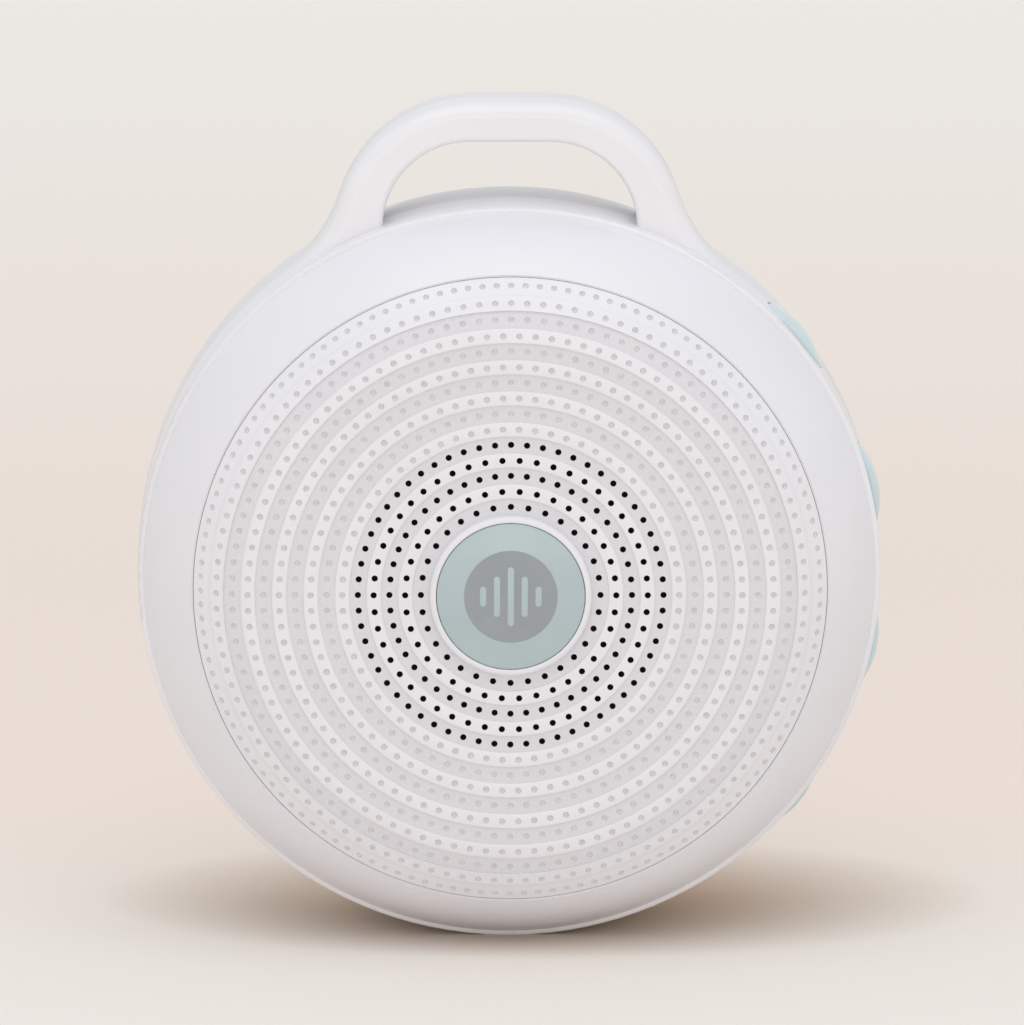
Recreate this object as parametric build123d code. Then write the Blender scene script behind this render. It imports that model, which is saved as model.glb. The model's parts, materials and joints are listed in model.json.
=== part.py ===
from build123d import *
import os
from math import atan2, cos, radians, sin, sqrt

# A portable white noise machine: a round drum that stands on its edge, with a carrying handle on
# top, a patterned front disc, four keys in the right-hand rim and a loudspeaker inside.
# Millimetres. Each piece is modelled with the drum lying on its back: X to the right, Y towards
# the handle, Z from the flat back up to the front. stand_up() then puts it in the part's frame:
# X to the right, Y towards the back, Z up, origin in the middle of the resting land.

# --- drum -------------------------------------------------------------------------------------
body_radius = 47.15
body_depth = 40.0
rest_flat = 0.1             # height of the flat that the rim stands on
wall = 2.0
dome_depth = 14.0           # from the flat front back to the rim
rim_depth = 8.0             # from the domed front back to the seam between the housings
lip_step = 0.7              # the rim stands this far out of the domed front
lip_round = 0.4
back_straight = 7.0         # rear cup's straight side, between the seam and its rounded edge
flange_width = 6.4          # ledge inside the rim that carries the bezel
flange_thickness = 1.6
tongue_height = 1.0
tongue_root = 0.5
tongue_wall = 0.85
tongue_gap = 0.1

# --- domed front ------------------------------------------------------------------------------
dome_width = 15.65          # from the rim in to the flat front
bezel_width = 7.05          # from the rim in to the joint with the patterned disc
shoulder_radius = 12.0
shoulder_angle = 45.0
disc_gap = 0.2
disc_wall = 1.6
skirt_wall = 1.6
disc_seat_depth = 6.0       # bezel's ledge behind the flat front; the disc's skirt stands on it
ledge_width = 5.2
ledge_thickness = 1.6

# --- rings and dots of the pattern ------------------------------------------------------------
first_row_radius = 11.32
row_count = 15
last_row_margin = 0.962     # from the last row out to the disc's joint
band_width = 1.85
band_step = 0.22
hole_counts = (32, 38, 48, 50, 60)
hole_diameter = 0.8

# --- badge ------------------------------------------------------------------------------------
badge_radius = 9.35
badge_thickness = 1.0
badge_rise = 0.95           # badge front ahead of the flat front
badge_round = 0.2
badge_gap = 0.1
pad_thickness = 0.2
pad_margin = 0.8
collar_width = 0.8
collar_rise = 0.85

# --- handle -----------------------------------------------------------------------------------
handle_rise = 12.8          # above the drum
handle_half_width = 22.3
handle_corner_radius = 17.8
handle_depth = 11.0
handle_round = 1.8
handle_flare_radius = 20.0
handle_sink = 13.0          # how far the handle's legs reach down behind the rim's top
grip_bar = 4.88             # bar between the grip's gap and the handle's top
grip_half_width = 16.1
grip_corner_radius = 11.0
grip_round = 0.6
handle_wall = 1.6

# --- resting land -----------------------------------------------------------------------------
foot_half_width = 8.0
foot_low = 3.5              # the land's rear end above the drum's back
foot_round = 2.0

# --- keys and switches ------------------------------------------------------------------------
key_angles = {"top": 39.3, "upper": 13.1, "lower": -13.1, "bottom": -39.3}
key_length = 10.6
key_width = 6.6
key_rise = 1.1
key_crown_radius = 12.0
key_gap = 0.15
key_lip = 0.7
key_lip_gap = 0.1
key_inset = 1.8             # back of the key, inside the wall; it rests on the switch plunger
key_travel = 0.4
switch_width = 6.0
switch_length = 3.8
switch_height = 3.6
plunger_radius = 1.2
plunger_clearance = 0.05
plunger_reach = 1.4         # plunger inside the switch at rest
plunger_show = 1.2          # plunger between the switch and the key

# --- loudspeaker ------------------------------------------------------------------------------
cloth_margin = 0.4          # cloth's edge inside the speaker window
cloth_thickness = 0.3
speaker_radius = 25.0
speaker_window_radius = 22.0
spacer_height = 2.2
gasket_thickness = 0.8
basket_flange = 1.0
basket_wall = 0.9
basket_depth = 7.8
basket_floor_radius = 13.5
basket_shelf_width = 1.4    # step inside the basket that carries the spider
basket_throat_gap = 1.5     # basket's floor hole, wider than the voice coil
basket_land = 0.6           # basket's rim, in from the window in front of it
basket_windows = 4
basket_window_width = 13.0
basket_window_margin = 1.0
ear_radius = 28.2
ear_round = 2.6
ear_root = 3.0              # ear's length inside the basket's flange
top_plate_radius = 14.0
top_plate_thickness = 2.0
magnet_radius = 16.0
magnet_hole_radius = 9.5
magnet_thickness = 4.5
back_plate_thickness = 1.8
pole_radius = 6.6
coil_radius = 7.1
former_wall = 0.25
former_length = 8.4
winding_thickness = 0.35
winding_length = 3.4
coil_clearance = 0.25
cone_radius = 18.2
cone_wall = 0.35
cone_rim = 0.8
cone_neck = 1.4             # height of the cone's glued neck on the voice coil
cone_neck_rise = 2.0        # top of the neck above the spider
surround_roll = 1.2
surround_wall = 0.35
surround_land = 1.4         # surround's flat outer edge, in the basket's rebate
surround_roll_gap = 0.4
dust_cap_radius = 8.4
dust_cap_rise = 2.0
dust_cap_edge = 0.5
spider_wall = 0.3
spider_wave = 0.5
spider_waves = 3
spider_land = 0.6           # spider's flat inner edge, glued to the voice coil
spider_drop = 4.4           # spider below the basket's front

# --- electronics ------------------------------------------------------------------------------
board_thickness = 1.6
board_inset = 12.4          # board's edge in from the drum's side
board_lobe_gap = 0.4        # right-hand lobe's edge behind the switches' fronts
board_gap = 1.1             # behind the loudspeaker
board_lobe_start = -47.5
board_lobe_end = 47.5
port_width = 8.94
port_height = 3.26
port_length = 7.3
port_shell = 0.3
port_gap = 0.25
port_tongue = 0.7
port_back_wall = 1.0
port_setback = 0.5          # mouth of the socket behind the rim's surface
port_lobe_half = 7.0
battery_width = 40.0
battery_length = 30.0
battery_thickness = 8.0
battery_inset = 19.0        # cell's lower end in from the drum's side
battery_round = 2.0
battery_gap = 0.3
foam_thickness = 1.0
foam_margin = 2.0           # foam pad's edge inside the cell's edge
tray_wall = 1.2
tray_height = 6.0
post_radius = 2.5
board_post_inset = 1.8      # in from the board's edge
board_post_angles = (52.4, 127.6, 213.2, 326.8)
board_clearance = 0.2
chip_lift = 0.1
leg_pitch = 1.27
leg_width = 0.4
leg_reach = 0.9
leg_thickness = 0.3
sound_chip_size = (10.2, 5.4, 1.5)
sound_chip_x = -5.0
sound_chip_inset = 8.6      # in from the board's edge
amplifier_chip_size = (5.2, 4.0, 1.5)
amplifier_chip_x = 5.0
amplifier_chip_inset = 9.6
capacitor_inset = 6.6
capacitor_angles = (249.0, 235.0, 56.0)
capacitor_radius = 2.4
capacitor_height = 5.6
capacitor_round = 0.4
socket_size = (7.5, 5.0, 4.2)
socket_wall = 0.8
plug_home = 3.0             # plug inside its socket
plug_show = 3.0             # plug outside its socket
plug_clearance = 0.05
battery_socket_x = 8.0
battery_socket_run = 13.0   # from the cell's upper end to the socket
speaker_socket_spot = (-22.0, 12.0)
lead_radius = 0.8
lead_bend = 1.2
lead_straight = 3.0         # straight run of a lead behind its plug
lead_slant = 2.5            # the battery lead's slant, along Y
lead_rise = 2.0             # the speaker lead's slant, along Z
battery_lead_side = 6.0     # the battery lead starts this far to the left of its plug
tag_strip_size = (4.0, 6.0, 1.0)
tag_strip_y = 6.5
tag_y = 5.5

# --- fasteners: shank radius, shank length, head radius, head height --------------------------
housing_screw = (1.15, 12.5, 2.2, 1.8)
bezel_screw = (1.0, 5.5, 1.8, 1.3)
disc_screw = (0.9, 4.0, 1.7, 1.2)
speaker_screw = (0.8, 3.6, 1.5, 1.1)
board_screw = (0.9, 7.0, 1.8, 1.2)
screw_head_round = 0.4      # share of the head's height
screw_slot_share = 0.9      # cross recess across, as a share of the head's radius
screw_gap = 0.2
housing_screw_angles = (62.0, 135.0, 205.0, 285.0)
bezel_screw_angles = (95.0, 180.0, 305.0)
disc_screw_angles = (20.0, 110.0, 200.0, 290.0)
speaker_screw_angles = (45.0, 135.0, 225.0, 315.0)
housing_screw_inset = 0.9   # outside the flange's inner edge
bezel_screw_inset = 2.4
disc_screw_inset = 3.5      # inside the disc's joint
housing_pillar_radius = 3.0
housing_pillar_sink = 0.5   # pillar's top behind the rim's front
housing_post_radius = 3.9
housing_seat_depth = 8.0    # seat of the housing screws' heads behind the seam
bezel_boss_radius = 2.2
disc_boss_radius = 2.0
speaker_boss_radius = 2.2
pilot_spare = 0.4           # a blind screw hole is this much deeper than its screw

cut_over = 1.0              # how far a cut runs past the faces that it opens

# --- radii and heights that follow ------------------------------------------------------------
inner_radius = body_radius - wall
axis_height = body_radius - rest_flat
band_top = body_depth - dome_depth
seam_height = band_top - rim_depth
back_edge_radius = seam_height - back_straight
flange_inner_radius = inner_radius - flange_width
bezel_radius = body_radius - lip_step
flat_radius = body_radius - dome_width
pattern_radius = body_radius - bezel_width
disc_seat_height = body_depth - disc_seat_depth
ledge_inner_radius = pattern_radius - ledge_width
row_pitch = (pattern_radius - last_row_margin - first_row_radius) / (row_count - 1)
collar_radius = badge_radius + badge_gap + collar_width
handle_top = body_radius + handle_rise
handle_root = body_radius - handle_sink
grip_top = handle_top - grip_bar
housing_screw_radius = flange_inner_radius + housing_screw_inset
bezel_screw_radius = flange_inner_radius + bezel_screw_inset
disc_screw_radius = pattern_radius - disc_screw_inset
housing_head_seat = seam_height - housing_seat_depth
cloth_radius = speaker_window_radius - cloth_margin
disc_radius = pattern_radius - disc_gap
disc_back = body_depth - disc_wall
flange_low = band_top - flange_thickness
gasket_back = disc_back - spacer_height - gasket_thickness
speaker_front = gasket_back
basket_floor = speaker_front - basket_depth
top_plate_low = basket_floor - top_plate_thickness
magnet_low = top_plate_low - magnet_thickness
speaker_back = magnet_low - back_plate_thickness
key_inner_radius = inner_radius - key_inset
switch_front = key_inner_radius - plunger_show
board_radius = body_radius - board_inset
board_reach = switch_front - board_lobe_gap
board_front = speaker_back - board_gap
board_back = board_front - board_thickness
key_height = board_front + switch_height / 2
battery_low = battery_inset - body_radius
battery_centre_y = battery_low + battery_length / 2
battery_socket_spot = (battery_socket_x, battery_low + battery_length + battery_socket_run)
sound_chip_spot = (sound_chip_x, board_radius - sound_chip_inset)
amplifier_chip_spot = (amplifier_chip_x, amplifier_chip_inset - board_radius)
port_middle = board_back - port_height / 2
badge_back = body_depth + badge_rise - badge_thickness
ledge_low = disc_seat_height - ledge_thickness
surround_edge = speaker_window_radius + surround_land
shelf_height = speaker_front - spider_drop
shelf_radius = basket_floor_radius + basket_shelf_width
basket_side = shelf_radius + basket_wall
coil_top = shelf_height + cone_neck_rise
FAR = 4 * body_radius       # longer than anything it cuts
TINY = 0.01


# --- helpers ----------------------------------------------------------------------------------
def stand_up(shape):
    """Turn a piece from the drum lying on its back to the drum standing on its edge."""
    upright = Plane(origin=(0, body_depth / 2, axis_height), x_dir=(1, 0, 0), z_dir=(0, -1, 0))
    return upright.location * shape


def disc(radius, low, high):
    """Round plate or rod about the Z axis, between two heights."""
    return Pos(0, 0, low) * Cylinder(radius, high - low, align=(Align.CENTER, Align.CENTER, Align.MIN))


def ring(inner, outer, low, high):
    """Round tube about the Z axis, between two heights."""
    return disc(outer, low, high) - disc(inner, low - cut_over, high + cut_over)


def block(low, high):
    """Box between two corners."""
    middle = [(a + b) / 2 for a, b in zip(low, high)]
    return Pos(*middle) * Box(*[b - a for a, b in zip(low, high)])


def strip(inner, outer, low, high):
    """Rectangle in a half section, between two radii and two heights."""
    return Pos((inner + outer) / 2, (low + high) / 2) * Rectangle(outer - inner, high - low)


def turned(section):
    """Solid turned about the Z axis from a half section of (radius, height)."""
    return revolve(Plane.XZ * section, Axis.Z)


def outline(*corners):
    """Straight-sided face through the corners."""
    return make_face(Polyline(*corners, close=True))


def at_spots(radius, angles, shape):
    """One copy of a shape, unturned, at each place on a circle about the Z axis."""
    return [Pos(radius * cos(radians(a)), radius * sin(radians(a)), 0) * shape for a in angles]


def screw(size, seat, turn=Rot(0, 0, 0)):
    """Cross-headed screw with its head's seat at a height and its shank up from there."""
    shank_radius, shank_length, head_radius, head_height = size
    head = disc(head_radius, -head_height, 0)
    head = fillet(head.edges().sort_by(Axis.Z)[0], head_height * screw_head_round)
    slot = head_radius * screw_slot_share
    cross = Box(slot, slot / 4, head_height) + Box(slot / 4, slot, head_height)
    shape = head - Pos(0, 0, -head_height) * cross
    shape += disc(shank_radius, -head_height / 4, shank_length)
    return Pos(0, 0, seat) * turn * shape


def blind_hole(size, seat, grip_from):
    """Hole that a screw's thread bites in, from where the boss starts to past the screw's end."""
    return disc(size[0], grip_from, seat + size[1] + pilot_spare)


def oval(length, width):
    """Long round-ended outline, lengthwise along X."""
    return SlotOverall(length, width)


# --- domed front ------------------------------------------------------------------------------
def brow_arc():
    """Centre and radius of the arc from the shoulder's end down to the rim."""
    turn = radians(shoulder_angle)
    start_x = flat_radius + shoulder_radius * sin(turn)
    start_z = body_depth - shoulder_radius * (1 - cos(turn))
    run = bezel_radius - start_x
    drop = band_top - start_z
    radius = -(run**2 + drop**2) / (2 * (run * sin(turn) + drop * cos(turn)))
    return start_x - radius * sin(turn), start_z - radius * cos(turn), radius


def dome_section(inset, low):
    """Half section of all that lies under the domed front, set in by a wall, down to a height."""
    turn = radians(shoulder_angle)
    brow_x, brow_z, brow_radius = brow_arc()
    inner_shoulder = shoulder_radius - inset
    inner_brow = brow_radius - inset
    end_turn = radians(90) - atan2(low - brow_z, sqrt(inner_brow**2 - (low - brow_z) ** 2))

    def on_shoulder(angle):
        return (
            flat_radius + inner_shoulder * sin(angle),
            body_depth - shoulder_radius + inner_shoulder * cos(angle),
        )

    def on_brow(angle):
        return brow_x + inner_brow * sin(angle), brow_z + inner_brow * cos(angle)

    top = body_depth - inset
    sides = Line((0, low), (0, top)) + Line((0, top), (flat_radius, top))
    sides += ThreePointArc(on_shoulder(0), on_shoulder(turn / 2), on_shoulder(turn))
    sides += ThreePointArc(on_brow(turn), on_brow((turn + end_turn) / 2), on_brow(end_turn))
    sides += Line(on_brow(end_turn), (0, low))
    return make_face(sides)


def row_radius(row):
    """Radius of a ring of dots."""
    return first_row_radius + row * row_pitch


def recess_strips():
    """Inner and outer radius of each sunk band: every second row of dots stands proud."""
    edges = [collar_radius]
    for row in range(1, row_count, 2):
        edges += [row_radius(row) - band_width / 2, row_radius(row) + band_width / 2]
    edges.append(pattern_radius)
    return list(zip(edges[0::2], edges[1::2]))


def disc_section():
    """Half section of the patterned disc, with its bands, its skirt and the badge's collar."""
    low = disc_seat_height
    high = body_depth + 2 * badge_rise
    whole = dome_section(0, low)
    section = whole - dome_section(disc_wall, low)
    section += whole & strip(disc_radius - skirt_wall, disc_radius, low, high)
    section = section & strip(0, disc_radius, low, high)
    skin = whole - dome_section(band_step, low)
    for inner, outer in recess_strips():
        section -= skin & strip(inner, outer, low, high)
    pocket_radius = badge_radius + badge_gap
    collar_top = body_depth + collar_rise
    bevel = collar_width / 3
    section += outline(
        (pocket_radius, disc_back),
        (collar_radius, disc_back),
        (collar_radius, collar_top - 2 * bevel),
        (collar_radius - bevel, collar_top - bevel / 2),
        (pocket_radius + bevel, collar_top),
        (pocket_radius, collar_top),
    )
    return section - strip(0, pocket_radius, badge_back - pad_thickness, high)


def grille_disc():
    body = turned(disc_section())
    body += ring(speaker_window_radius, speaker_radius, disc_back - spacer_height, disc_back)
    speaker_boss = disc(speaker_boss_radius, speaker_front, disc_back)
    body += at_spots(ear_radius, speaker_screw_angles, speaker_boss)
    disc_boss = disc(disc_boss_radius, disc_seat_height, body_depth)
    bosses = Part() + at_spots(disc_screw_radius, disc_screw_angles, disc_boss)
    body += bosses & turned(dome_section(disc_wall / 2, disc_seat_height))
    for row, count in enumerate(hole_counts):
        hole = Cylinder(hole_diameter / 2, 4 * disc_wall)
        body -= [Pos(0, 0, body_depth) * place * hole for place in PolarLocations(row_radius(row), count)]
    speaker_hole = blind_hole(speaker_screw, speaker_front - basket_flange, speaker_front - cut_over)
    body -= at_spots(ear_radius, speaker_screw_angles, speaker_hole)
    disc_hole = blind_hole(disc_screw, ledge_low, disc_seat_height - cut_over)
    return body - at_spots(disc_screw_radius, disc_screw_angles, disc_hole)


def front_bezel():
    low = band_top
    section = dome_section(0, low) - dome_section(wall, low)
    section = section & strip(pattern_radius, body_radius, low, body_depth)
    under = dome_section(wall / 2, low)
    section += under & strip(ledge_inner_radius, body_radius, ledge_low, disc_seat_height)
    body = turned(section)
    boss = disc(bezel_boss_radius, low, ledge_low + ledge_thickness / 2)
    bosses = Part() + at_spots(bezel_screw_radius, bezel_screw_angles, boss)
    body += bosses & turned(under)
    hole = blind_hole(bezel_screw, flange_low, low - cut_over)
    body -= at_spots(bezel_screw_radius, bezel_screw_angles, hole)
    way = disc(disc_screw[0] + screw_gap, ledge_low - cut_over, disc_seat_height + cut_over)
    return body - at_spots(disc_screw_radius, disc_screw_angles, way)


def centre_badge():
    body = disc(badge_radius, badge_back, badge_back + badge_thickness)
    return fillet(body.edges().sort_by(Axis.Z)[-1], badge_round)


def badge_pad():
    return disc(badge_radius - pad_margin, badge_back - pad_thickness, badge_back)


# --- handle and housings ----------------------------------------------------------------------
def above(height):
    """Half plane above a height."""
    return Pos(0, height + FAR / 2) * Rectangle(FAR, FAR)


def radius_of(point):
    """Distance of a point from the drum's axis."""
    return sqrt(point.X**2 + point.Y**2)


def ends_and_middle(edge):
    return [edge @ 0, edge @ 0.5, edge @ 1]


def handle_outline(inset, low):
    """Outline of the handle's two legs and grip, flared into the rim, set in by a wall."""
    rim_radius = body_radius - inset
    ends = oval(2 * (handle_half_width - inset), 2 * (handle_corner_radius - inset))
    whole = Circle(rim_radius) + Pos(0, handle_top - handle_corner_radius) * ends
    on_rim = [v for v in whole.vertices() if abs(radius_of(v) - rim_radius) < TINY]
    corners = [v for v in on_rim if v.Y > handle_root]
    whole = fillet(corners, handle_flare_radius + inset)
    gap = RectangleRounded(2 * (grip_half_width + inset), grip_top + 2 * inset, grip_corner_radius + inset)
    whole -= Pos(0, grip_top / 2) * gap
    whole -= Circle(inner_radius + inset)
    return whole & above(low)


def handle_edges(body):
    """Edges round the handle's front and back faces, without its root and the rim's inside."""
    flat = [e for e in body.edges() if abs(e.center().Z - seam_height) > handle_depth / 2 - TINY]
    upper = [e for e in flat if e.center().Y > handle_root + TINY]
    return [e for e in upper if any(abs(radius_of(v) - inner_radius) > TINY for v in ends_and_middle(e))]


def on_grip(edge):
    """Whether an edge of the handle runs along the grip's gap."""
    points = ends_and_middle(edge)
    return all(abs(v.X) < grip_half_width + TINY and v.Y < grip_top + TINY for v in points)


def handle():
    """Whole handle, hollow above the rim, about the seam."""
    low = seam_height - handle_depth / 2
    body = Pos(0, 0, low) * extrude(handle_outline(0, handle_root), handle_depth)
    body = fillet([e for e in handle_edges(body) if not on_grip(e)], handle_round)
    body = fillet([e for e in handle_edges(body) if on_grip(e)], grip_round)
    core = handle_outline(handle_wall, body_radius + handle_wall)
    core = extrude(core, handle_depth - 2 * handle_wall)
    return body - Pos(0, 0, low + handle_wall) * core


def key_prism(grow, inner, outer):
    """Key outline, grown all round, along the rim's radius at angle 0."""
    face = Plane((inner, 0, key_height), x_dir=(0, 1, 0), z_dir=(1, 0, 0))
    return extrude(face * oval(key_length + 2 * grow, key_width + 2 * grow), outer - inner)


def key_windows():
    window = key_prism(key_gap, inner_radius - 2 * wall, body_radius + wall)
    return [Rot(0, 0, angle) * window for angle in key_angles.values()]


def below_table():
    """All that would lie under the table."""
    return block((-FAR, -FAR, -FAR), (FAR, -axis_height, FAR))


def front_housing():
    rim = strip(inner_radius, body_radius, seam_height, band_top)
    rim = fillet(rim.vertices().sort_by(Axis.X)[-2:].sort_by(Axis.Y)[-1], lip_round)
    rim += strip(flange_inner_radius, body_radius - wall / 2, flange_low, band_top)
    body = turned(rim)
    pillar = disc(housing_pillar_radius, seam_height, band_top - housing_pillar_sink)
    body += at_spots(housing_screw_radius, housing_screw_angles, pillar)
    body += handle() & block((-FAR, -FAR, seam_height), (FAR, FAR, FAR))
    groove_radius = inner_radius + tongue_wall + tongue_gap
    groove_top = seam_height + tongue_height + tongue_gap
    body -= ring(inner_radius - cut_over, groove_radius, seam_height - cut_over, groove_top)
    hole = blind_hole(housing_screw, housing_head_seat, seam_height - cut_over)
    body -= at_spots(housing_screw_radius, housing_screw_angles, hole)
    way = disc(bezel_screw[0] + screw_gap, flange_low - cut_over, band_top + cut_over)
    body -= at_spots(bezel_screw_radius, bezel_screw_angles, way)
    body -= key_windows()
    return body - below_table()


def cup_section(inset):
    """Half section of all that lies inside the rear cup, set in by a wall."""
    radius = body_radius - inset
    bend = back_edge_radius - inset
    centre = body_radius - back_edge_radius
    half = radians(45)
    middle = (centre + bend * sin(half), back_edge_radius - bend * cos(half))
    sides = Line((0, seam_height), (0, inset)) + Line((0, inset), (centre, inset))
    sides += ThreePointArc((centre, inset), middle, (radius, back_edge_radius))
    sides += Line((radius, back_edge_radius), (radius, seam_height))
    sides += Line((radius, seam_height), (0, seam_height))
    return make_face(sides)


def port_prism(grow, inner, outer):
    """Charging port outline, grown all round, along the left-hand radius."""
    face = Plane((-inner, 0, port_middle), x_dir=(0, 1, 0), z_dir=(-1, 0, 0))
    return extrude(face * oval(port_width + 2 * grow, port_height + 2 * grow), outer - inner)


def at_board_posts(shape):
    """One copy of a shape at each post that the board is screwed to."""
    return at_spots(board_radius - board_post_inset, board_post_angles, shape)


def battery_tray():
    """Low wall round the cell, on the floor of the cup."""
    room_x = battery_width + 2 * battery_gap
    room_y = battery_length + 2 * battery_gap
    tray = Box(room_x + 2 * tray_wall, room_y + 2 * tray_wall, tray_height)
    tray -= Box(room_x, room_y, 2 * tray_height)
    return Pos(0, battery_centre_y, wall + tray_height / 2) * tray


def resting_land():
    """Block under the rear cup whose flat underside the drum stands on."""
    left, right = -foot_half_width, foot_half_width
    low, high = -axis_height, -inner_radius / 2
    foot = block((left, low, foot_low), (right, high, seam_height))
    foot = fillet(foot.edges().filter_by(Axis.Y), foot_round)
    return foot + block((left, low, seam_height - foot_round), (right, high, seam_height))


def rear_housing():
    room = turned(cup_section(wall))
    outside = turned(cup_section(0))
    body = outside - room
    tongue_top = seam_height + tongue_height
    body += ring(inner_radius, inner_radius + tongue_wall, seam_height - tongue_root, tongue_top)
    housing_post = disc(housing_post_radius, 0, seam_height)
    posts = Part() + at_spots(housing_screw_radius, housing_screw_angles, housing_post)
    posts += at_board_posts(disc(post_radius, wall / 2, board_back))
    posts += battery_tray()
    body += posts & turned(cup_section(wall / 2))
    body += resting_land() - room
    body += handle() & block((-FAR, -FAR, -FAR), (FAR, FAR, seam_height))
    way = disc(housing_screw[0] + screw_gap, -cut_over, seam_height + cut_over)
    way += disc(housing_screw[2] + screw_gap, -cut_over, housing_head_seat)
    body -= at_spots(housing_screw_radius, housing_screw_angles, way)
    body -= at_board_posts(disc(board_screw[0], board_front - board_screw[1] - pilot_spare, body_depth))
    body -= port_prism(port_gap, inner_radius - 2 * wall, body_radius + wall)
    body -= key_windows()
    return body - below_table()


# --- keys and switches ------------------------------------------------------------------------
def crown(radius, top, along):
    """Rod whose side is the curve of a key's outer face."""
    turn = Rot(0, 0, 0) if along == "Z" else Rot(90, 0, 0)
    return Pos(top - radius, 0, key_height) * turn * Cylinder(radius, FAR)


def key_cap():
    """Key at angle 0: a crowned oval with a lip inside the wall."""
    top = body_radius + key_rise
    half = key_length / 2
    rise = top - sqrt(body_radius**2 - half**2)
    side_radius = (half**2 + rise**2) / (2 * rise)
    body = key_prism(0, key_inner_radius, top)
    body &= crown(side_radius, top, "Z")
    body &= crown(key_crown_radius, top, "Y")
    lip = key_prism(key_lip, key_inner_radius, body_radius)
    return body + (lip & disc(inner_radius - key_lip_gap, 0, body_depth))


def switch_body():
    back = switch_front - switch_length
    half = switch_width / 2
    body = block((back, -half, board_front), (switch_front, half, board_front + switch_height))
    bore_low = switch_front - plunger_reach - 2 * key_travel
    bore = Plane((bore_low, 0, key_height), z_dir=(1, 0, 0))
    return body - extrude(bore * Circle(plunger_radius + plunger_clearance), FAR)


def switch_plunger():
    face = Plane((switch_front - plunger_reach, 0, key_height), z_dir=(1, 0, 0))
    return extrude(face * Circle(plunger_radius), plunger_reach + plunger_show)


# --- loudspeaker ------------------------------------------------------------------------------
def grille_cloth():
    return disc(cloth_radius, disc_back - cloth_thickness, disc_back)


def speaker_gasket():
    return ring(speaker_window_radius, speaker_radius, gasket_back, gasket_back + gasket_thickness)


def speaker_basket():
    front = speaker_front
    low = basket_floor
    back = front - basket_flange
    throat = coil_radius + winding_thickness + basket_throat_gap
    section = outline(
        (speaker_radius, front),
        (speaker_radius, back),
        (surround_edge, back),
        (basket_side, shelf_height),
        (basket_side, low),
        (throat, low),
        (throat, low + basket_wall),
        (basket_floor_radius, low + basket_wall),
        (basket_floor_radius, shelf_height - spider_wall),
        (shelf_radius, shelf_height - spider_wall),
        (shelf_radius, shelf_height),
        (speaker_window_radius - basket_land, front - surround_wall),
        (surround_edge, front - surround_wall),
        (surround_edge, front),
    )
    body = turned(section)
    reach = ear_radius - speaker_radius + ear_round
    ear = extrude(oval(2 * (reach + ear_root), 2 * ear_round), basket_flange)
    ear = Pos(speaker_radius - ear_root, 0, back) * ear - disc(speaker_window_radius, 0, body_depth)
    ear -= disc((surround_edge + speaker_radius) / 2, 0, body_depth)
    body += [Rot(0, 0, angle) * ear for angle in speaker_screw_angles]
    way = disc(speaker_screw[0] + screw_gap, back - cut_over, front + cut_over)
    body -= at_spots(ear_radius, speaker_screw_angles, way)
    window = block(
        (shelf_radius, -basket_window_width / 2, shelf_height + basket_window_margin),
        (speaker_radius, basket_window_width / 2, back - basket_window_margin),
    )
    return body - [place * window for place in PolarLocations(0, basket_windows)]


def speaker_surround():
    """Half-roll rubber ring from the cone's rim to the basket."""
    inner = cone_radius + cone_rim
    outer = speaker_window_radius - surround_roll_gap
    front = speaker_front
    low = front - surround_wall
    middle = (inner + outer) / 2
    peak = front + surround_roll
    roll_in = inner + surround_wall
    roll_out = outer - surround_wall
    sides = Polyline((roll_in, low), (cone_radius, low), (cone_radius, front), (inner, front))
    sides += ThreePointArc((inner, front), (middle, peak), (outer, front))
    sides += Polyline((outer, front), (surround_edge, front), (surround_edge, low), (roll_out, low))
    sides += ThreePointArc((roll_out, low), (middle, peak - surround_wall), (roll_in, low))
    return turned(make_face(sides))


def speaker_cone():
    rim_top = speaker_front - surround_wall
    rim_low = rim_top - cone_wall
    section = outline(
        (coil_radius, coil_top - cone_neck),
        (coil_radius, coil_top),
        (cone_radius - cone_wall, rim_top),
        (cone_radius + cone_rim, rim_top),
        (cone_radius + cone_rim, rim_low),
        (cone_radius, rim_low),
    )
    return turned(section)


def voice_coil():
    low = coil_top - former_length
    body = ring(coil_radius - former_wall, coil_radius, low, coil_top)
    winding_radius = coil_radius + winding_thickness
    return body + ring(coil_radius - former_wall / 2, winding_radius, low, low + winding_length)


def dust_cap():
    """Domed cap whose edge is glued to the cone's slope."""
    slope = (speaker_front - surround_wall - coil_top) / (cone_radius - cone_wall - coil_radius)
    edge = coil_top + (dust_cap_radius - coil_radius) * slope
    top = edge + dust_cap_rise
    inner = dust_cap_radius - dust_cap_edge
    low = coil_top + (inner - coil_radius) * slope
    sides = ThreePointArc((-dust_cap_radius, edge), (0, top), (dust_cap_radius, edge))
    sides += Line((dust_cap_radius, edge), (inner, low))
    sides += ThreePointArc((inner, low), (0, top - cone_wall), (-inner, low))
    sides += Line((-inner, low), (-dust_cap_radius, edge))
    return turned(make_face(sides) & strip(0, FAR, 0, FAR))


def speaker_spider():
    """Corrugated ring that centres the voice coil."""
    steps = 2 * spider_waves
    start = coil_radius + spider_land
    span = basket_floor_radius - spider_wall - start
    upper = [(coil_radius, shelf_height)]
    for step in range(steps + 1):
        dip = spider_wave if step % 2 else 0
        upper.append((start + span * step / steps, shelf_height - dip))
    upper.append((shelf_radius, shelf_height))
    lower = [(radius, height - spider_wall) for radius, height in reversed(upper)]
    return turned(outline(*upper, *lower))


def speaker_top_plate():
    hole = coil_radius + winding_thickness + coil_clearance
    return ring(hole, top_plate_radius, top_plate_low, basket_floor)


def speaker_magnet():
    return ring(magnet_hole_radius, magnet_radius, magnet_low, top_plate_low)


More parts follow.
